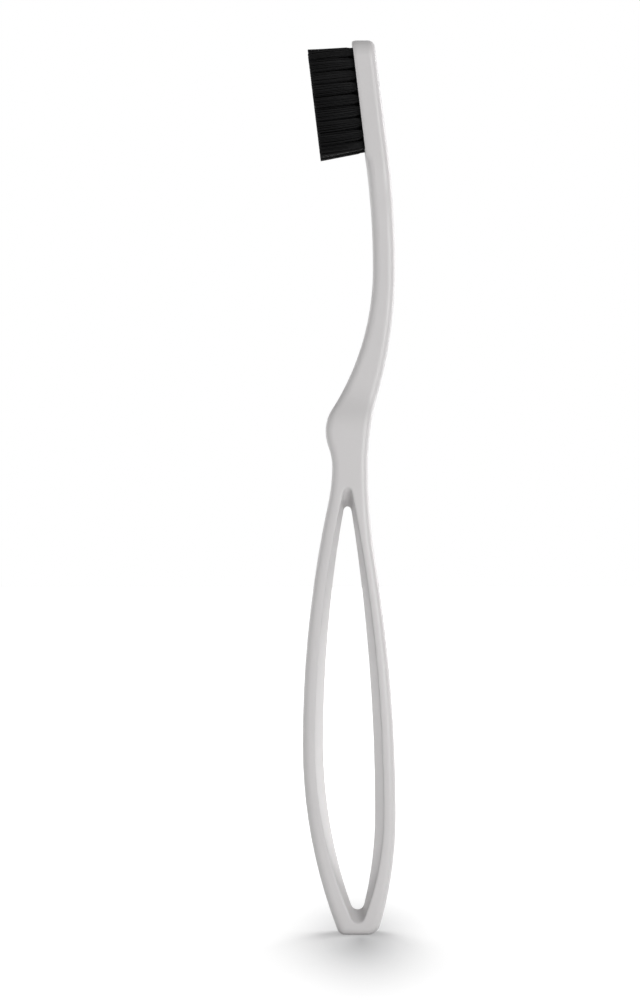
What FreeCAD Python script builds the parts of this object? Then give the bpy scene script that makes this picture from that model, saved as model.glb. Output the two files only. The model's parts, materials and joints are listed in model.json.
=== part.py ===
import FreeCAD, Part
import math
import os
import Sketcher

# A one-piece moulded toothbrush: a loop handle, an S-shaped neck and a leaning head. Each blind hole in
# the head holds a tuft of bristles, folded in two round a small metal anchor that bites into the plastic.
# +Z runs up the brush, the bristles point to -X and the XZ plane is its plane of symmetry.
# The origin is the middle of the flat foot that the loop stands on.

document = FreeCAD.newDocument("toothbrush")
sheet = document.addObject("Spreadsheet::Sheet", "Sizes")

# Driving sizes: lengths in millimetres, angles in degrees, counts and one share
driving_sizes = (
    ("foot_length", 4.6, "flat under the loop, front to back"),
    ("foot_thickness", 5.2, "bar under the loop's opening"),
    ("foot_front_round", 1.8, "outline's radius in front of the foot"),
    ("foot_back_round", 3.0, "outline's radius behind the foot"),
    ("handle_width", 8.6, "loop and thumb rest, side to side"),
    ("strand_thickness", 4.45, "each side of the loop, front to back"),
    ("loop_front_reach", 11.35, "furthest front of the loop"),
    ("loop_front_height", 40.5, "height of the loop's furthest front"),
    ("loop_back_reach", 8.45, "furthest back of the loop"),
    ("loop_back_height", 25.5, "height of the loop's furthest back"),
    ("opening_round", 1.5, "radius of the opening's lower end"),
    ("opening_shift", 0.35, "how far behind the foot's middle the opening's lower end lies"),
    ("fork_height", 90.6, "top of the loop's opening"),
    ("fork_reach", 1.8, "how far in front of the foot the opening's top lies"),
    ("fork_round", 0.9, "radius of the opening's top"),
    ("fork_draft", 46, "slope of the groove above the opening"),
    ("strand_draft", 24, "slope of the opening's sides, from the middle to each face"),
    ("foot_draft", 32, "slope of the bar under the opening"),
    ("saddle_rise", 8.8, "from the opening's top up to the hollow under the thumb rest"),
    ("saddle_reach", 5.05, "front of the hollow"),
    ("waist_reach", 2.5, "back of the handle, level with the hollow"),
    ("thumb_rise", 7.6, "from the hollow up to the thumb rest's crest"),
    ("thumb_step", 1.4, "how far the crest stands proud of the hollow"),
    ("bow_rise", 34.5, "from the crest up to where the neck bows furthest back"),
    ("neck_bend", 184.0, "radius of the neck's front from the bow up to the head"),
    ("neck_width", 4.9, "slim part of the neck, side to side"),
    ("neck_drop", 25.0, "from the bow down to the lower end of the slim part"),
    ("neck_climb", 6.0, "from the bow up to the upper end of the slim part"),
    ("head_tilt", 6.9, "lean of the head towards the bristles"),
    ("head_thickness", 4.7, "head and upper neck, front to back"),
    ("heel_reach", 2.3, "front face of the head at its heel"),
    ("heel_margin", 3.1, "face between the heel and the first tuft holes"),
    ("head_corner", 3.4, "rounding of the head's tip, seen from the front"),
    ("head_rim", 1.2, "wall between the outer tuft holes and the head's sides"),
    ("tip_rim", 1.65, "wall between the top tuft holes and the head's tip"),
    ("face_allowance", 0.8, "cut off the head's rounded front to leave a flat face with a crisp rim"),
    ("face_ramp", 2.6, "length along the head in which that allowance rises"),
    ("edge_round", 1.5, "rounding of all outer edges"),
    ("ridge_round", 0.8, "rounding of the ridge inside the opening"),
    ("row_count", 9, "tufts in each outer column"),
    ("row_pitch", 2.5, "from tuft to tuft along the head"),
    ("column_pitch", 2.3, "from column to column across the head"),
    ("hole_depth", 3.2, "depth of a tuft hole"),
    ("root_diameter", 1.8, "tuft where it sits in its hole, across its corners"),
    ("tip_diameter", 2.4, "tuft at its trimmed end, across its corners"),
    ("tuft_sides", 8, "flat sides of a tuft and of its hole"),
    ("bristle_length", 9.6, "tuft from the head's face to its trimmed end"),
    ("fan_share", 0.042, "how much wider the tufts stand at their ends, as a share"),
    ("anchor_width", 1.74, "anchor across its hole"),
    ("anchor_height", 1.5, "anchor along its hole"),
    ("anchor_thickness", 0.3, "anchor plate"),
    ("anchor_turn", 40, "turn of the anchors from the head's length"),
    ("fold_thickness", 0.4, "bristles folded under an anchor"),
    ("fit_clearance", 0.02, "room round a tuft in its hole and round an anchor"),
    ("overrun", 1.0, "how far cuts reach past the material"),
)
for row, (alias, value, meaning) in enumerate(driving_sizes, start=1):
    sheet.set(f"A{row}", meaning)
    sheet.set(f"B{row}", str(value))
    sheet.setAlias(f"B{row}", alias)
document.recompute()

# Formulas shared by several pieces
saddle_height = "(Sizes.fork_height + Sizes.saddle_rise)"
thumb_height = f"({saddle_height} + Sizes.thumb_rise)"
bow_height = f"({thumb_height} + Sizes.bow_rise)"
heel_height = f"({bow_height} + Sizes.neck_bend * sin(Sizes.head_tilt))"
back_bend = "(Sizes.neck_bend + Sizes.head_thickness)"
bow_swing = "(1 - cos(Sizes.head_tilt))"
hole_radius = "(Sizes.root_diameter / 2 + Sizes.fit_clearance)"
field_length = f"((Sizes.row_count - 1) * Sizes.row_pitch + 2 * {hole_radius})"
neck_low_height = f"({bow_height} - Sizes.neck_drop)"
neck_high_height = f"({bow_height} + Sizes.neck_climb)"
head_length = f"(Sizes.heel_margin + {field_length} + Sizes.tip_rim)"
tip_height = f"({heel_height} + {head_length} * cos(Sizes.head_tilt))"
column_span = "(3 * Sizes.column_pitch)"
half_head_width = f"({column_span} / 2 + {hole_radius} + Sizes.head_rim)"
half_handle_width = "(Sizes.handle_width / 2)"
half_neck_width = "(Sizes.neck_width / 2)"
first_row = f"(Sizes.heel_margin + {hole_radius})"
anchor_top = "(Sizes.hole_depth - Sizes.fold_thickness - Sizes.anchor_height)"
fan = "(1 + Sizes.fan_share)"
field_middle = f"(Sizes.heel_margin + {field_length} / 2)"


def number(formula):
    return float(sheet.evalExpression(formula))


def bind(item, formulas):
    for name, formula in formulas.items():
        item.setExpression(name, formula)


def origin_plane(body, role):
    return next(plane for plane in body.Origin.OriginFeatures if plane.Role == role)


def add_sketch(body, name, role):
    sketch = body.newObject("Sketcher::SketchObject", name)
    sketch.AttachmentSupport = [(origin_plane(body, role), "")]
    sketch.MapMode = "FlatFace"
    return sketch


def place_on_head(item, attribute):
    # The head's own frame starts at the heel: x up the head, y across it, z out along the bristles
    placement = FreeCAD.Placement()
    placement.Rotation = FreeCAD.Rotation(FreeCAD.Vector(0, 1, 0), -90 - number("Sizes.head_tilt"))
    setattr(item, attribute, placement)
    bind(item, {
        f"{attribute}.Base.x": "Sizes.heel_reach",
        f"{attribute}.Base.z": heel_height,
        f"{attribute}.Rotation.Angle": "-90 - Sizes.head_tilt",
    })


def on_head(along, out):
    # Point of the side outline, from its place along the head and its distance out from the face
    across = f"(Sizes.heel_reach - {along} * sin(Sizes.head_tilt) - {out} * cos(Sizes.head_tilt))"
    up = f"({heel_height} + {along} * cos(Sizes.head_tilt) - {out} * sin(Sizes.head_tilt))"
    return across, up


def sway(start, end, share, turns):
    # Two tangent arcs between points that the outline passes upright, the first with this share of the way
    across = f"({end[0]} - ({start[0]}))"
    up = f"({end[1]} - ({start[1]}))"
    radii = f"(({across} * {across} + {up} * {up}) / (2 * abs({across})))"
    middle = (f"({start[0]} + {across} * {share})", f"({start[1]} + {up} * {share})")
    first = (start, middle, f"({radii} * {share})", turns[0])
    second = (middle, end, f"({radii} * (1 - {share}))", turns[1])
    return [first, second]


def sweep_to_round(widest, centre, radius):
    # Large arc that is upright at its widest point and runs into a small round: its radius and its end
    offset = f"({centre[0]} - ({widest[0]}))"
    across = f"abs({offset})"
    up = f"({centre[1]} - ({widest[1]}))"
    large = f"(({across} * {across} + {up} * {up} - {radius} * {radius}) / (2 * ({across} - {radius})))"
    large_centre = f"({widest[0]} + {large} * {offset} / {across})"
    reach = f"({large} / ({large} - {radius}))"
    end_across = f"({large_centre} + ({centre[0]} - {large_centre}) * {reach})"
    end_up = f"({widest[1]} + {up} * {reach})"
    return large, (end_across, end_up)


def add_outline(sketch, segments):
    # Closed outline of straight lines, given by their ends, and arcs, given by ends, radius and turn
    def fix(constraint, formula):
        sketch.setExpression(f"Constraints[{sketch.addConstraint(constraint)}]", formula)

    drawn = []
    for start, end, *arc in segments:
        first, last = (FreeCAD.Vector(number(across), number(up), 0) for across, up in (start, end))
        if arc:
            radius = number(arc[0])
            chord = last - first
            to_centre = FreeCAD.Vector(-chord.y, chord.x, 0).normalize()
            to_centre *= (radius ** 2 - chord.Length ** 2 / 4) ** 0.5
            left = arc[1] == "left"
            centre = (first + last) / 2 + (to_centre if left else -to_centre)
            ends = (first, last) if left else (last, first)
            angles = [math.atan2(point.y - centre.y, point.x - centre.x) for point in ends]
            circle = Part.Circle(centre, FreeCAD.Vector(0, 0, 1), radius)
            index = sketch.addGeometry(Part.ArcOfCircle(circle, *angles))
            drawn.append((index, 1, 2) if left else (index, 2, 1))
            fix(Sketcher.Constraint("Radius", index, radius), arc[0])
        else:
            drawn.append((sketch.addGeometry(Part.LineSegment(first, last)), 1, 2))
        index, begin, _ = drawn[-1]
        fix(Sketcher.Constraint("DistanceX", -1, 1, index, begin, first.x), start[0])
        fix(Sketcher.Constraint("DistanceY", -1, 1, index, begin, first.y), start[1])
    for (index, _, ending), (following, begin, _) in zip(drawn, drawn[1:] + drawn[:1]):
        sketch.addConstraint(Sketcher.Constraint("Coincident", index, ending, following, begin))


def sharp_edges(shape, wanted):
    # Names of the edges where two faces meet at an angle, as far as they are wanted
    smooth_cosine = 0.95
    names = []
    for index, edge in enumerate(shape.Edges, start=1):
        middle = edge.valueAt((edge.FirstParameter + edge.LastParameter) / 2)
        faces = shape.ancestorsOfType(edge, Part.Face)
        normals = [face.normalAt(*face.Surface.parameter(middle)) for face in faces]
        smooth = len(normals) < 2 or normals[0].dot(normals[1]) > smooth_cosine
        if not smooth and wanted(middle):
            names.append(f"Edge{index}")
    return names


def add_fillet(body, name, base, radius, wanted):
    document.recompute()
    fillet = body.newObject("PartDesign::Fillet", name)
    fillet.Base = (base, sharp_edges(base.Shape, wanted))
    bind(fillet, {"Radius": radius})
    return fillet


# Body: side outline, from the tip down the front, round the foot and up the back
def side_outline():
    beyond = f"({head_length} + Sizes.head_thickness + Sizes.overrun)"
    tip_front = on_head(beyond, "Sizes.face_allowance")
    ramp_top = on_head("Sizes.face_ramp", "Sizes.face_allowance")
    ramp_middle = on_head("(Sizes.face_ramp / 2)", "(Sizes.face_allowance / 2)")
    ramp_square = "(Sizes.face_ramp * Sizes.face_ramp + Sizes.face_allowance * Sizes.face_allowance)"
    ramp_radius = f"({ramp_square} / (4 * Sizes.face_allowance))"
    heel_front = on_head("0", "0")
    bow_front = (f"(Sizes.heel_reach + Sizes.neck_bend * {bow_swing})", bow_height)
    crest = ("-(Sizes.saddle_reach + Sizes.thumb_step)", thumb_height)
    saddle = ("-Sizes.saddle_reach", saddle_height)
    loop_front = ("-Sizes.loop_front_reach", "Sizes.loop_front_height")
    foot_front = ("(-Sizes.foot_length / 2)", "0")
    foot_back = ("(Sizes.foot_length / 2)", "0")
    loop_back = ("Sizes.loop_back_reach", "Sizes.loop_back_height")
    waist = ("Sizes.waist_reach", saddle_height)
    bow_back = (f"({bow_front[0]} + Sizes.head_thickness)", bow_height)
    heel_back = on_head("0", "(-Sizes.head_thickness)")
    tip_back = on_head(beyond, "(-Sizes.head_thickness)")
    front_round = "Sizes.foot_front_round"
    back_round = "Sizes.foot_back_round"
    front_large, front_end = sweep_to_round(loop_front, (foot_front[0], front_round), front_round)
    back_large, back_end = sweep_to_round(loop_back, (foot_back[0], back_round), back_round)
    bow_to_crest_share = 0.87
    crest_to_saddle_share = 0.45
    saddle_to_loop_share = 0.13
    loop_to_waist_share = 0.72
    waist_to_bow_share = 0.37
    return [
        (tip_front, ramp_top),
        (ramp_top, ramp_middle, ramp_radius, "left"),
        (ramp_middle, heel_front, ramp_radius, "right"),
        (heel_front, bow_front, "Sizes.neck_bend", "right"),
        *sway(bow_front, crest, bow_to_crest_share, ("right", "left")),
        *sway(crest, saddle, crest_to_saddle_share, ("left", "right")),
        *sway(saddle, loop_front, saddle_to_loop_share, ("right", "left")),
        (loop_front, front_end, front_large, "left"),
        (front_end, foot_front, front_round, "left"),
        (foot_front, foot_back),
        (foot_back, back_end, back_round, "left"),
        (back_end, loop_back, back_large, "left"),
        *sway(loop_back, waist, loop_to_waist_share, ("left", "right")),
        *sway(waist, bow_back, waist_to_bow_share, ("right", "left")),
        (bow_back, heel_back, back_bend, "left"),
        (heel_back, tip_back),
        (tip_back, tip_front),
    ]


# Body: front outline, from under the foot up one side, over the tip and down the other
def width_outline():
    corner_height = f"({tip_height} - Sizes.head_corner)"
    tip_side = f"({half_head_width} - Sizes.head_corner)"
    thumb_to_neck_share = 0.5
    neck_to_head_share = 0.5

    def side(sign):
        foot = (f"{sign} * {half_handle_width}", "-Sizes.overrun")
        thumb = (f"{sign} * {half_handle_width}", thumb_height)
        neck_low = (f"{sign} * {half_neck_width}", neck_low_height)
        neck_high = (f"{sign} * {half_neck_width}", neck_high_height)
        heel = (f"{sign} * {half_head_width}", heel_height)
        corner = (f"{sign} * {half_head_width}", corner_height)
        tip = (f"{sign} * {tip_side}", tip_height)
        return foot, thumb, neck_low, neck_high, heel, corner, tip

    foot, thumb, neck_low, neck_high, heel, corner, tip = side(1)
    far_foot, far_thumb, far_neck_low, far_neck_high, far_heel, far_corner, far_tip = side(-1)
    return [
        (foot, thumb),
        *sway(thumb, neck_low, thumb_to_neck_share, ("left", "right")),
        (neck_low, neck_high),
        *sway(neck_high, heel, neck_to_head_share, ("right", "left")),
        (heel, corner),
        (corner, tip, "Sizes.head_corner", "left"),
        (tip, far_tip),
        (far_tip, far_corner, "Sizes.head_corner", "left"),
        (far_corner, far_heel),
        *sway(far_heel, far_neck_high, 1 - neck_to_head_share, ("left", "right")),
        (far_neck_high, far_neck_low),
        *sway(far_neck_low, far_thumb, 1 - thumb_to_neck_share, ("right", "left")),
        (far_thumb, far_foot),
        (far_foot, foot),
    ]


# Body: the flat that is cut into the front of the head, in the head's frame
def face_outline():
    side = f"({widest} + Sizes.overrun)"
    beyond = f"({head_length} + Sizes.head_thickness + 2 * Sizes.overrun)"
    corners = [("0", f"-{side}"), (beyond, f"-{side}"), (beyond, side), ("0", side)]
    return list(zip(corners, corners[1:] + corners[:1]))


widest = f"max({half_handle_width}; {half_neck_width}; {half_head_width})"
bow_reach = f"(Sizes.heel_reach + Sizes.neck_bend * {bow_swing} + Sizes.head_thickness)"
furthest_back = f"max(Sizes.loop_back_reach; {bow_reach})"


def surround():
    side = f"({widest} + 2 * Sizes.overrun)"
    low = "-2 * Sizes.overrun"
    high = f"({tip_height} + Sizes.head_thickness + 2 * Sizes.overrun)"
    corners = [(f"-{side}", low), (side, low), (side, high), (f"-{side}", high)]
    return list(zip(corners, corners[1:] + corners[:1]))


# Body: the loop's opening in the plane of symmetry, or wider at a distance from it
def opening_outline(distance):
    widening = f"{distance} * tan(Sizes.strand_draft)"
    front_reach = f"(Sizes.strand_thickness - Sizes.loop_front_reach - {widening})"
    back_reach = f"(Sizes.loop_back_reach - Sizes.strand_thickness + {widening})"
    front = (front_reach, "Sizes.loop_front_height")
    back = (back_reach, "Sizes.loop_back_height")
    fork_height = f"(Sizes.fork_height - Sizes.fork_round + {distance} * tan(Sizes.fork_draft))"
    low_height = f"(Sizes.foot_thickness + Sizes.opening_round - {distance} * tan(Sizes.foot_draft))"
    fork = ("-Sizes.fork_reach", fork_height)
    low = ("Sizes.opening_shift", low_height)
    front_up, fork_front = sweep_to_round(front, fork, "Sizes.fork_round")
    back_up, fork_back = sweep_to_round(back, fork, "Sizes.fork_round")
    front_down, low_front = sweep_to_round(front, low, "Sizes.opening_round")
    back_down, low_back = sweep_to_round(back, low, "Sizes.opening_round")
    return [
        (fork_back, fork_front, "Sizes.fork_round", "left"),
        (fork_front, front, front_up, "left"),
        (front, low_front, front_down, "left"),
        (low_front, low_back, "Sizes.opening_round", "left"),
        (low_back, back, back_down, "left"),
        (back, fork_back, back_up, "left"),
    ]


def hole_outline(along, across):
    corners = []
    for corner in range(int(number("Sizes.tuft_sides"))):
        angle = f"({corner} * 360 / Sizes.tuft_sides)"
        corner_along = f"({along} + {hole_radius} * cos{angle})"
        corner_across = f"({across} + {hole_radius} * sin{angle})"
        corners.append((corner_along, corner_across))
    return list(zip(corners, corners[1:] + corners[:1]))


def add_hole_pair(body, name, along, spread, rows):
    # Blind holes in two columns that lie alike on either side of the middle
    hole_sketch = add_sketch(body, f"{name}_hole_outline", "XY_Plane")
    place_on_head(hole_sketch, "AttachmentOffset")
    add_outline(hole_sketch, hole_outline(along, f"(-{spread} / 2)"))
    hole = body.newObject("PartDesign::Pocket", f"{name}_hole")
    hole.Profile = hole_sketch
    bind(hole, {"Length": "Sizes.hole_depth"})
    document.recompute()

    pattern = body.newObject("PartDesign::LinearPattern", f"{name}_pattern")
    pattern.Originals = [hole]
    pattern.Direction = (hole_sketch, ["H_Axis"])
    pattern.Direction2 = (hole_sketch, ["V_Axis"])
    pattern.Occurrences2 = 2
    bind(pattern, {
        "Length": f"({rows} - 1) * Sizes.row_pitch",
        "Occurrences": rows,
        "Length2": spread,
    })
    body.Tip = pattern
    document.recompute()
    return pattern


def make_body():
    body = document.addObject("PartDesign::Body", "brush_body")
    side_sketch = add_sketch(body, "side_outline", "XZ_Plane")
    add_outline(side_sketch, side_outline())
    block = body.newObject("PartDesign::Pad", "side_block")
    block.Profile = side_sketch
    block.SideType = "Symmetric"
    bind(block, {"Length": f"2 * ({widest} + Sizes.overrun)"})

    width_sketch = add_sketch(body, "width_outline", "YZ_Plane")
    bind(width_sketch, {"AttachmentOffset.Base.z": f"{furthest_back} + Sizes.overrun"})
    add_outline(width_sketch, width_outline())
    add_outline(width_sketch, surround())
    trim = body.newObject("PartDesign::Pocket", "width_trim")
    trim.Profile = width_sketch
    trim.Type = "ThroughAll"
    add_fillet(body, "outer_rounding", trim, "Sizes.edge_round", lambda place: True)
    document.recompute()

    middle_sketch = add_sketch(body, "opening_middle", "XZ_Plane")
    add_outline(middle_sketch, opening_outline("0"))
    outside = f"({widest} + Sizes.overrun)"
    outer_sketch = add_sketch(body, "opening_outside", "XZ_Plane")
    bind(outer_sketch, {"AttachmentOffset.Base.z": outside})
    add_outline(outer_sketch, opening_outline(outside))
    opening = body.newObject("PartDesign::SubtractiveLoft", "opening")
    opening.Profile = middle_sketch
    opening.Sections = [outer_sketch]
    opening.Ruled = True
    document.recompute()
    both = body.newObject("PartDesign::Mirrored", "opening_both_sides")
    both.Originals = [opening]
    both.MirrorPlane = (origin_plane(body, "XZ_Plane"), [""])
    body.Tip = both
    near = number("Sizes.ridge_round")
    add_fillet(body, "ridge_rounding", both, "Sizes.ridge_round", lambda place: abs(place.y) < near)
    document.recompute()

    face_sketch = add_sketch(body, "face_outline", "XY_Plane")
    place_on_head(face_sketch, "AttachmentOffset")
    add_outline(face_sketch, face_outline())
    face = body.newObject("PartDesign::Pocket", "face_flat")
    face.Profile = face_sketch
    face.Reversed = True
    bind(face, {"Length": "Sizes.face_allowance + Sizes.overrun"})
    document.recompute()

    add_hole_pair(body, "outer", first_row, column_span, "Sizes.row_count")
    inner_row = f"({first_row} + Sizes.row_pitch / 2)"
    add_hole_pair(body, "inner", inner_row, "Sizes.column_pitch", "(Sizes.row_count - 1)")
    return body


# Anchors and the slots that they take up, placed in the head's frame
def anchor_block(name, along, across, clearance):
    block = document.addObject("Part::Box", name)
    width = f"(Sizes.anchor_width + 2 * {clearance})"
    thickness = f"(Sizes.anchor_thickness + 2 * {clearance})"
    block.Placement.Rotation = FreeCAD.Rotation(FreeCAD.Vector(0, 0, 1), number("Sizes.anchor_turn"))
    turn_cos = "cos(Sizes.anchor_turn)"
    turn_sin = "sin(Sizes.anchor_turn)"
    bind(block, {
        "Length": width,
        "Width": thickness,
        "Height": f"Sizes.anchor_height + 2 * {clearance}",
        "Placement.Base.x": f"{along} - {width} / 2 * {turn_cos} + {thickness} / 2 * {turn_sin}",
        "Placement.Base.y": f"{across} - {width} / 2 * {turn_sin} - {thickness} / 2 * {turn_cos}",
        "Placement.Base.z": f"-({anchor_top} + Sizes.anchor_height + {clearance})",
        "Placement.Rotation.Angle": "Sizes.anchor_turn",
    })
    return block


# Tuft: a straight root in the hole and a flared, slightly fanned brush above the head's face, with a slot
# for its anchor. A few flat sides stand for the round outline of a bundle of single bristles.
def make_tuft(name, along, across):
    fanned_along = f"({field_middle} + ({along} - {field_middle}) * {fan})"
    rings = (
        ("bottom", "Sizes.root_diameter", along, across, "Sizes.fit_clearance - Sizes.hole_depth"),
        ("mouth", "Sizes.root_diameter", along, across, "0"),
        ("end", "Sizes.tip_diameter", fanned_along, f"{across} * {fan}", "Sizes.bristle_length"),
    )
    bundle = document.addObject("Part::Loft", f"{name}_bundle")
    sections = []
    for place, diameter, ring_along, ring_across, height in rings:
        ring = document.addObject("Part::RegularPolygon", f"{name}_{place}")
        bind(ring, {
            "Polygon": "Sizes.tuft_sides",
            "Circumradius": f"{diameter} / 2",
            "Placement.Base.x": ring_along,
            "Placement.Base.y": ring_across,
            "Placement.Base.z": height,
        })
        sections.append(ring)
    bundle.Sections = sections
    bundle.Solid = True
    bundle.Ruled = True
    bundle.Linearize = True
    tuft = document.addObject("Part::Cut", name)
    tuft.Base = bundle
    tuft.Tool = anchor_block(f"{name}_slot", along, across, "Sizes.fit_clearance")
    place_on_head(tuft, "Placement")
    return tuft


def make_tufts_and_anchors():
    row_count = int(number("Sizes.row_count"))
    tufts = []
    anchors = []
    for column in range(4):
        inner = column in (1, 2)
        across = f"({column} * Sizes.column_pitch - {column_span} / 2)"
        for row in range(row_count - inner):
            along = f"({first_row} + ({row} + {int(inner)} / 2) * Sizes.row_pitch)"
            name = f"column_{column + 1}_row_{row + 1:02d}"
            tufts.append(make_tuft(f"tuft_{name}", along, across))
            anchors.append(anchor_block(f"anchor_{name}", along, across, "0"))
    tuft_anchors = document.addObject("Part::Compound", "tuft_anchors")
    tuft_anchors.Links = anchors
    place_on_head(tuft_anchors, "Placement")
    return tufts + [tuft_anchors]


sub_parts = [make_body()] + make_tufts_and_anchors()
document.recompute()

for item in document.Objects:
    if "Invalid" in item.State or "Error" in item.State:
        raise RuntimeError(f"{item.Label} failed")
for item in sub_parts:
    if item.Shape.isNull() or not item.Shape.isValid():
        raise RuntimeError(f"{item.Label} has no valid shape")

os.makedirs("parts", exist_ok=True)
for item in sub_parts:
    item.Shape.exportStep(f"parts/{item.Label}.step")
    print(item.Label, len(item.Shape.Solids), round(item.Shape.Volume, 2))
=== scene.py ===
import json
import math
import random

import bpy
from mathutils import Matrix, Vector

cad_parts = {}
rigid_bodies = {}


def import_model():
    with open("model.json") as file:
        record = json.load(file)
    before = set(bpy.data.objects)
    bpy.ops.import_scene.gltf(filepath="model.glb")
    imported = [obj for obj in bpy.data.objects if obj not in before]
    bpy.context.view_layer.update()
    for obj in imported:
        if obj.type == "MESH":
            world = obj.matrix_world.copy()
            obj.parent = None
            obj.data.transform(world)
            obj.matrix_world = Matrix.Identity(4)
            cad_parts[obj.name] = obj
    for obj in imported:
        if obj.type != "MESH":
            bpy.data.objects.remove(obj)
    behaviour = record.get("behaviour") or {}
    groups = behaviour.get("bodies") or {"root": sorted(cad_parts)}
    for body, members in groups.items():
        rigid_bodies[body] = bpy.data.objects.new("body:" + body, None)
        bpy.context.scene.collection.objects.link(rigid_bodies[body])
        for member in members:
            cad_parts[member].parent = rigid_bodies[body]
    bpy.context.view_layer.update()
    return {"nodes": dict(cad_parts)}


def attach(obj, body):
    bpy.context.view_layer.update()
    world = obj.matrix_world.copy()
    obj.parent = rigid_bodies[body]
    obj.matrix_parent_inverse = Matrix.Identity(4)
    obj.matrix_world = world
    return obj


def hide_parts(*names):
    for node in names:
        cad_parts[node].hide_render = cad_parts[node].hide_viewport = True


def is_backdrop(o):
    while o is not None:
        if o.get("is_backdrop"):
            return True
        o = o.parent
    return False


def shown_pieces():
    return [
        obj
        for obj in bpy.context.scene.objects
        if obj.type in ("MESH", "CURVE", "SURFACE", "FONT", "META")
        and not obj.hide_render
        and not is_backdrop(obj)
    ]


# The start-up objects go first.
for leftover in list(bpy.data.objects):
    bpy.data.objects.remove(leftover)

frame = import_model()


# Brush body: handle loop, thumb rest, neck and head, one injection moulding of grey polypropylene.
# The two mould halves meet in the brush's middle plane and leave a fine raised line round its edges,
# up to the head, which a sliding core with the pins for the tuft holes forms.

def linear(hex_colour):
    """Turn an sRGB hex colour into the linear one that a shader takes."""
    channels = [int(hex_colour[at:at + 2], 16) / 255 for at in (1, 3, 5)]
    return [c / 12.92 if c <= 0.04045 else ((c + 0.055) / 1.055) ** 2.4 for c in channels] + [1.0]


def add_node(tree, kind, inputs=None, **settings):
    """Add a node. Each input is a value, or the output socket that feeds it."""
    node = tree.nodes.new(kind)
    for name, value in settings.items():
        setattr(node, name, value)
    for socket, value in (inputs or {}).items():
        if isinstance(value, bpy.types.NodeSocket):
            tree.links.new(value, node.inputs[socket])
        else:
            node.inputs[socket].default_value = value
    return node


def start_material(name):
    """Make a material, and return it with its node tree and its shader."""
    material = bpy.data.materials.new(name)
    material.use_nodes = True
    return material, material.node_tree, material.node_tree.nodes["Principled BSDF"]


# Lengths are in metres, as in the frame.
body = frame["nodes"]["brush_body"]
flow_mark = 0.014
gloss_patch = 0.0025
satin_roughness = (0.36, 0.46)
eroded_grain = 0.0004
grain_depth = 0.000008
softened_edge = 0.0008
parting_line_half_width = 0.00025
parting_line_height = 0.00006
handle_top = 0.160

# A Mix node has several sockets of each name, so those for colours go by their places.
first_colour, second_colour, mixed_colour = 6, 7, 2

# Moulded polypropylene, coloured in the mass: the fine spark-eroded texture of the mould gives a satin
# surface with wide soft highlights, and the shade drifts a little along the flow of the melt. The edges of
# the handle are softened, while the head's rim stays crisp. The grain is really about 0.05 mm and is drawn
# eight times coarser, because it would not show, and the parting line, really about 0.1 mm, five times wider.
polypropylene, tree, shader = start_material("moulded_polypropylene")
shader.inputs["IOR"].default_value = 1.49
place = add_node(tree, "ShaderNodeTexCoord").outputs["Object"]

flow = add_node(tree, "ShaderNodeTexNoise", {"Vector": place, "Scale": 1 / flow_mark, "Detail": 3.0})
shade = add_node(tree, "ShaderNodeMix", {
    "Factor": flow.outputs["Fac"],
    first_colour: linear("#CCCACA"),
    second_colour: linear("#C6C4C4"),
}, data_type="RGBA")
tree.links.new(shade.outputs[mixed_colour], shader.inputs["Base Color"])

patches = add_node(tree, "ShaderNodeTexNoise", {"Vector": place, "Scale": 1 / gloss_patch, "Detail": 2.0})
satin = add_node(tree, "ShaderNodeMapRange", {
    "Value": patches.outputs["Fac"],
    "To Min": satin_roughness[0],
    "To Max": satin_roughness[1],
})
tree.links.new(satin.outputs["Result"], shader.inputs["Roughness"])

sides = add_node(tree, "ShaderNodeSeparateXYZ", {"Vector": place}).outputs
on_handle = add_node(tree, "ShaderNodeMath", {0: sides["Z"], 1: handle_top}, operation="LESS_THAN").outputs[0]
softness = add_node(tree, "ShaderNodeMath", {0: on_handle, 1: softened_edge}, operation="MULTIPLY")
softened = add_node(tree, "ShaderNodeBevel", {"Radius": softness.outputs[0]}, samples=8)
grain = add_node(tree, "ShaderNodeTexNoise", {"Vector": place, "Scale": 1 / eroded_grain, "Detail": 1.0})
texture = add_node(tree, "ShaderNodeBump", {
    "Height": grain.outputs["Fac"],
    "Distance": grain_depth,
    "Normal": softened.outputs["Normal"],
})
off_middle = add_node(tree, "ShaderNodeMath", {0: sides["Y"]}, operation="ABSOLUTE")
line = add_node(tree, "ShaderNodeMapRange", {
    "Value": off_middle.outputs[0],
    "From Min": 0.0,
    "From Max": parting_line_half_width,
    "To Min": 1.0,
    "To Max": 0.0,
}, interpolation_type="SMOOTHSTEP")
seam = add_node(tree, "ShaderNodeMath", {0: line.outputs["Result"], 1: on_handle}, operation="MULTIPLY")
relief = add_node(tree, "ShaderNodeBump", {
    "Height": seam.outputs[0],
    "Distance": parting_line_height,
    "Normal": texture.outputs["Normal"],
})
tree.links.new(relief.outputs["Normal"], shader.inputs["Normal"])
body.data.materials.clear()
body.data.materials.append(polypropylene)


# Tuft anchors: one small plate for each tuft, sheared from rolled brass strip and driven edge-on into the
# hole with the tuft folded round its lower edge. They stay out of sight below the head's face.

anchors = frame["nodes"]["tuft_anchors"]
rolling_line_width = 0.00003
rolling_line_length = 15 * rolling_line_width
rolled_roughness = (0.22, 0.4)

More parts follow.
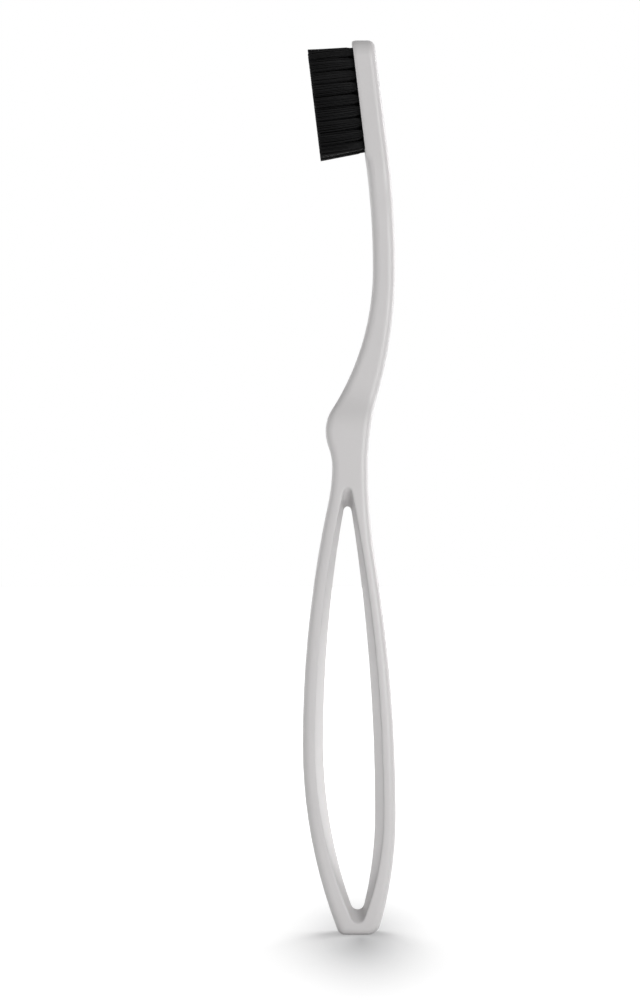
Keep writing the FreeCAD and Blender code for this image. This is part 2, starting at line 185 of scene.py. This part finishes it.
# Rolled brass: bright yellow metal with fine lines along the strip, which spread its highlights.
brass, tree, shader = start_material("rolled_brass")
shader.inputs["Metallic"].default_value = 1.0
place = add_node(tree, "ShaderNodeTexCoord").outputs["Object"]
strip = add_node(tree, "ShaderNodeMapping", {
    "Vector": place,
    "Scale": (1 / rolling_line_length, 1 / rolling_line_width, 1 / rolling_line_width),
})
lines = add_node(tree, "ShaderNodeTexNoise", {"Vector": strip.outputs["Vector"], "Scale": 1.0})
tint = add_node(tree, "ShaderNodeMix", {
    "Factor": lines.outputs["Fac"],
    first_colour: linear("#C9A452"),
    second_colour: linear("#DCBB6C"),
}, data_type="RGBA")
tree.links.new(tint.outputs[mixed_colour], shader.inputs["Base Color"])
lustre = add_node(tree, "ShaderNodeMapRange", {
    "Value": lines.outputs["Fac"],
    "To Min": rolled_roughness[0],
    "To Max": rolled_roughness[1],
})
tree.links.new(lustre.outputs["Result"], shader.inputs["Roughness"])
anchors.data.materials.clear()
anchors.data.materials.append(brass)


# Bristle tufts: 34 bundles of black nylon filament, each folded in two under its anchor and stapled into
# its hole. After stapling, the brush is trimmed level and every filament end is ground round.

# The holes on the head's face, which leans forward from the heel to the tip.
head_tilt = math.radians(6.9)
heel_front = Vector((0.0023, 0.0, 0.163605))
along_head = Vector((-math.sin(head_tilt), 0.0, math.cos(head_tilt)))
across_head = Vector((0.0, 1.0, 0.0))
bristle_way = along_head.cross(across_head)
rows_in_columns = (9, 8, 8, 9)
most_rows = max(rows_in_columns)
middle_column = (len(rows_in_columns) + 1) / 2
row_pitch = 0.0025
column_pitch = 0.0023
first_row = 0.00402
field_middle = 0.01402
hole_radius = 0.0009

# The anchor across each hole and the filaments folded round it, with levels counted from the head's face.
anchor_turn = math.radians(40)
edge_way = math.cos(anchor_turn) * along_head + math.sin(anchor_turn) * across_head
side_way = bristle_way.cross(edge_way)
anchor_top = -0.0012
anchor_foot = -0.0028
fold_level = -0.0030
fold_narrowing = 0.6
beside_anchor = 0.00025
filament_radius = 0.00009
filament_spacing = 0.000195
nearest_to_middle = 0.0001

# The free bristles: the block fans out, and each tuft flares until it overlaps the next ones.
bristle_length = 0.0096
fan = 1.042
end_radius = 0.0012
row_overlap = 0.0002
flare = (end_radius + row_overlap) / hole_radius
low_point = 1 / 7
low_flare = 0.6
middle_point = 1 / 2
middle_flare = 0.9
outer_column = (middle_column - 1) * column_pitch
block_root = (field_middle - first_row + hole_radius, outer_column + hole_radius)
block_end = ((field_middle - first_row) * fan + end_radius, outer_column * fan + end_radius)
bow = 0.00006
splay = 0.00014
trim_error = 0.00006
round_end = 0.00008
tip_thickness = 0.45
chance = random.Random(34)

# Nylon monofilament, dyed black in the mass: drawn smooth, so each filament carries a thin faint line of
# light along it, and no two are quite the same black. The ground ends are matt.
drawn_roughness = 0.42
ground_roughness = 0.65
matt_length = 3 * round_end
nylon, tree, shader = start_material("nylon_monofilament")
shader.inputs["IOR"].default_value = 1.53
shader.inputs["Specular IOR Level"].default_value = 0.12
black = add_node(tree, "ShaderNodeMix", {
    "Factor": add_node(tree, "ShaderNodeNewGeometry").outputs["Random Per Island"],
    first_colour: linear("#070708"),
    second_colour: linear("#0F0F10"),
}, data_type="RGBA")
tree.links.new(black.outputs[mixed_colour], shader.inputs["Base Color"])
place = add_node(tree, "ShaderNodeTexCoord").outputs["Object"]
level = add_node(tree, "ShaderNodeVectorMath", {0: place, 1: bristle_way}, operation="DOT_PRODUCT")
ground = add_node(tree, "ShaderNodeMapRange", {
    "Value": level.outputs["Value"],
    "From Min": bristle_length - matt_length,
    "From Max": bristle_length - round_end,
    "To Min": drawn_roughness,
    "To Max": ground_roughness,
})
tree.links.new(ground.outputs["Result"], shader.inputs["Roughness"])

# The filaments lie in the hole like a honeycomb, in two halves with the anchor between them.
filaments_to_wall = math.ceil(hole_radius / filament_spacing)
half_bundle = []
for layer in range(filaments_to_wall + 1):
    for step in range(-filaments_to_wall, filaments_to_wall + 1):
        side = nearest_to_middle + layer * filament_spacing * math.sqrt(3) / 2
        edge = (step + layer % 2 / 2) * filament_spacing
        if math.hypot(edge, side) <= hole_radius - filament_radius:
            half_bundle.append((edge, side))


def inside_block(point, share, from_middle, from_axis):
    """Keep a filament within the straight sides of the block, at a share of its free length."""
    kept = Vector()
    for way, start, root, end in ((along_head, from_middle, block_root[0], block_end[0]),
                                  (across_head, from_axis, block_root[1], block_end[1])):
        limit = root + (end - root) * share - filament_radius - chance.uniform(0, splay)
        kept += (max(-limit, min(limit, start + point.dot(way))) - start) * way
    return kept


def filament_leg(edge, side, from_middle, from_axis):
    """Points of half a filament, from its ground end down to the fold."""
    sway = [chance.uniform(-bow, bow) for _ in range(2)]
    stray = [chance.uniform(-splay, splay) for _ in range(2)]
    end = bristle_length - chance.uniform(0, trim_error)
    root = edge * edge_way + side * side_way
    fanned = (fan - 1) * (from_middle * along_head + from_axis * across_head)
    spread = fanned + (flare - 1) * root + stray[0] * along_head + stray[1] * across_head
    low = inside_block(root + spread * low_flare, low_point, from_middle, from_axis)
    bowed = root + spread * middle_flare + sway[0] * along_head + sway[1] * across_head
    middle = inside_block(bowed, middle_point, from_middle, from_axis)
    tip = inside_block(root + spread, 1, from_middle, from_axis)
    away = math.copysign(beside_anchor, side) + side * (1 - beside_anchor / hole_radius)
    beside = edge * edge_way + away * side_way
    fold = edge * edge_way + fold_narrowing * away * side_way
    return [
        tip + end * bristle_way,
        tip + (end - round_end) * bristle_way,
        middle + middle_point * bristle_length * bristle_way,
        low + low_point * bristle_length * bristle_way,
        root,
        beside + anchor_top * bristle_way,
        beside + anchor_foot * bristle_way,
        fold + fold_level * bristle_way,
    ]


for column, rows in enumerate(rows_in_columns, start=1):
    for row in range(1, rows + 1):
        hole = f"{column}_{row:02d}"
        place_along = first_row + (row - 1 + (most_rows - rows) / 2) * row_pitch
        place_across = (column - middle_column) * column_pitch
        bundle = bpy.data.curves.new(f"filaments_{hole}", "CURVE")
        bundle.dimensions = "3D"
        bundle.bevel_depth = filament_radius
        bundle.bevel_resolution = 1
        bundle.use_fill_caps = True
        for edge, side in half_bundle:
            points = filament_leg(edge, side, place_along - field_middle, place_across)
            points += filament_leg(edge, -side, place_along - field_middle, place_across)[::-1]
            filament = bundle.splines.new("POLY")
            filament.points.add(len(points) - 1)
            for bend, point in zip(filament.points, points):
                bend.co = (*point, 1.0)
            filament.points[0].radius = tip_thickness
            filament.points[-1].radius = tip_thickness
        paths = bpy.data.objects.new(f"filament_paths_{hole}", bundle)
        tuft = bpy.data.objects.new(f"bristle_tuft_{hole}", bpy.data.meshes.new_from_object(paths))
        bpy.data.objects.remove(paths)
        tuft.location = heel_front + place_along * along_head + place_across * across_head
        tuft.data.materials.append(nylon)
        bpy.context.collection.objects.link(tuft)
        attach(tuft, "root")
        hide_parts(f"tuft_column_{column}_row_{row:02d}")


# Floor: a wide sheet of matt white paper, on which the brush stands on its foot. For the camera and in
# reflections it has some light of its own, and more where the lamp's light fades, so that it is white and
# keeps the soft shadow, which a painted shadow, a long grey patch from the foot to the front, deepens.

floor_reach = 3.0
painted_shadow_centre = (0.001, -0.012, 0.0)
painted_shadow_reach = (0.021, 0.13, 1.0)
lamplight_fades = (0.03, 0.6)
own_light = (0.33, 0.95)
corners = [(x * floor_reach, y * floor_reach, 0.0) for x, y in ((-1, -1), (1, -1), (1, 1), (-1, 1))]
floor_mesh = bpy.data.meshes.new("paper_floor")
floor_mesh.from_pydata(corners, [], [(0, 1, 2, 3)])
floor = bpy.data.objects.new("paper_floor", floor_mesh)
bpy.context.collection.objects.link(floor)
floor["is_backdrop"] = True


def shown_rays(tree):
    """Give 1 for rays from the camera, a mirror or glass, and 0 for those that only carry light."""
    rays = add_node(tree, "ShaderNodeLightPath").outputs
    shown = rays["Is Camera Ray"]
    for kind in ("Is Glossy Ray", "Is Transmission Ray"):
        shown = add_node(tree, "ShaderNodeMath", {0: shown, 1: rays[kind]}, operation="MAXIMUM").outputs[0]
    return shown


# Matt white paper: it scatters light evenly, so it shows no highlight, only the shadow, and for the camera
# and in reflections a painted grey shadow in front of the foot.
paper, tree, shader = start_material("matt_white_paper")
tree.nodes.remove(shader)
shown = shown_rays(tree)
spot = add_node(tree, "ShaderNodeTexCoord").outputs["Object"]
off_foot = add_node(tree, "ShaderNodeVectorMath", {0: spot}, operation="LENGTH")
strength = add_node(tree, "ShaderNodeMapRange", {
    "Value": off_foot.outputs["Value"],
    "From Min": lamplight_fades[0],
    "From Max": lamplight_fades[1],
    "To Min": own_light[0],
    "To Max": own_light[1],
})
seen_light = add_node(tree, "ShaderNodeMath", {0: shown, 1: strength.outputs["Result"]}, operation="MULTIPLY")
glow = add_node(tree, "ShaderNodeEmission", {"Color": linear("#FFFFFF"), "Strength": seen_light.outputs[0]})
# Painted shadow: a grey patch on the paper, stretched from the foot to the front, seen only by the camera and
# in reflections.
painted_shadow_mapping = add_node(tree, "ShaderNodeMapping", {
    "Vector": spot,
    "Location": painted_shadow_centre,
    "Scale": painted_shadow_reach,
}, vector_type="TEXTURE")
painted_shadow_mask = add_node(tree, "ShaderNodeTexGradient", {"Vector": painted_shadow_mapping.outputs["Vector"]},
                  gradient_type="QUADRATIC_SPHERE")
seen_painted_shadow = add_node(tree, "ShaderNodeMath", {0: painted_shadow_mask.outputs["Fac"], 1: shown}, operation="MULTIPLY")
paper_and_painted_shadow = add_node(tree, "ShaderNodeMix", {
    "Factor": seen_painted_shadow.outputs[0],
    first_colour: linear("#F8F8F8"),
    second_colour: linear("#7E7E80"),
}, data_type="RGBA")
sheet = add_node(tree, "ShaderNodeBsdfDiffuse", {"Color": paper_and_painted_shadow.outputs[mixed_colour]})
both = add_node(tree, "ShaderNodeAddShader", {0: sheet.outputs[0], 1: glow.outputs[0]})
tree.links.new(both.outputs[0], tree.nodes["Material Output"].inputs["Surface"])
floor_mesh.materials.append(paper)


# Studio: white walls under a darker ceiling, a soft lamp at the right of the camera with a weak one at its
# left, and a narrow one on each side behind the brush for its edges, all screened from the floor. One more
# lamp, overhead and screened from the brush, lights the floor and throws the brush's soft shadow.

wall_light = 0.54
ceiling_light = 0.16
studio = bpy.data.worlds.new("white_studio")
studio.use_nodes = True
tree = studio.node_tree
tree.nodes.remove(tree.nodes["Background"])
way = add_node(tree, "ShaderNodeTexCoord").outputs["Generated"]
upward = add_node(tree, "ShaderNodeSeparateXYZ", {"Vector": way}).outputs["Z"]
strength = add_node(tree, "ShaderNodeMapRange", {
    "Value": upward,
    "To Min": wall_light,
    "To Max": ceiling_light,
})
room = add_node(tree, "ShaderNodeBackground", {
    "Color": linear("#FFFFFF"),
    "Strength": strength.outputs["Result"],
})
backdrop = add_node(tree, "ShaderNodeBackground", {"Color": linear("#FFFFFF"), "Strength": 1.0})
either = add_node(tree, "ShaderNodeMixShader", {
    0: shown_rays(tree),
    1: room.outputs[0],
    2: backdrop.outputs[0],
})
tree.links.new(either.outputs[0], tree.nodes["World Output"].inputs["Surface"])
bpy.context.scene.world = studio

lit_brush = bpy.data.collections.new("lit_brush")
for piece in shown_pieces():
    lit_brush.objects.link(piece)
lit_floor = bpy.data.collections.new("lit_floor")
lit_floor.objects.link(floor)
brush_middle = Vector((0.0, 0.0, 0.095))
foot = Vector((0.0, 0.0, 0.0))

# Lengths in metres, power in watts.
for name, place, aim, lit, width, height, power in (
        ("soft_lamp", (0.40, -0.66, 0.12), brush_middle, lit_brush, 0.4, 0.4, 3.9),
        ("side_lamp", (-0.60, -0.40, 0.10), brush_middle, lit_brush, 0.3, 0.4, 0.3),
        ("edge_lamp", (0.60, 0.40, 0.25), brush_middle, lit_brush, 0.2, 0.4, 2.2),
        ("fill_lamp", (-0.60, 0.40, 0.20), brush_middle, lit_brush, 0.2, 0.4, 1.1),
        ("overhead_lamp", (0.0, 0.20, 0.95), foot, lit_floor, 0.25, 0.6, 4.7)):
    lamp = bpy.data.lights.new(name, "AREA")
    lamp.shape = "RECTANGLE"
    lamp.size = width
    lamp.size_y = height
    lamp.energy = power
    stand = bpy.data.objects.new(name, lamp)
    stand.location = place
    stand.rotation_euler = (aim - stand.location).to_track_quat("-Z", "Y").to_euler()
    stand.light_linking.receiver_collection = lit
    bpy.context.collection.objects.link(stand)


# Camera: level and square to the brush's flat side, far enough off for an almost parallel view, with the
# whole brush and the floor in front of its foot in the frame.

camera_distance = 0.75
frame_height = 0.21386
frame_middle = (-0.00765, 0.092)
view = bpy.data.cameras.new("camera")
view.sensor_fit = "VERTICAL"
view.sensor_height = 24.0
view.lens = view.sensor_height * camera_distance / frame_height
camera = bpy.data.objects.new("camera", view)
camera.location = (frame_middle[0], -camera_distance, frame_middle[1])
camera.rotation_euler = (math.pi / 2, 0.0, 0.0)
bpy.context.collection.objects.link(camera)
bpy.context.scene.camera = camera
bpy.context.scene.view_settings.view_transform = "Standard"
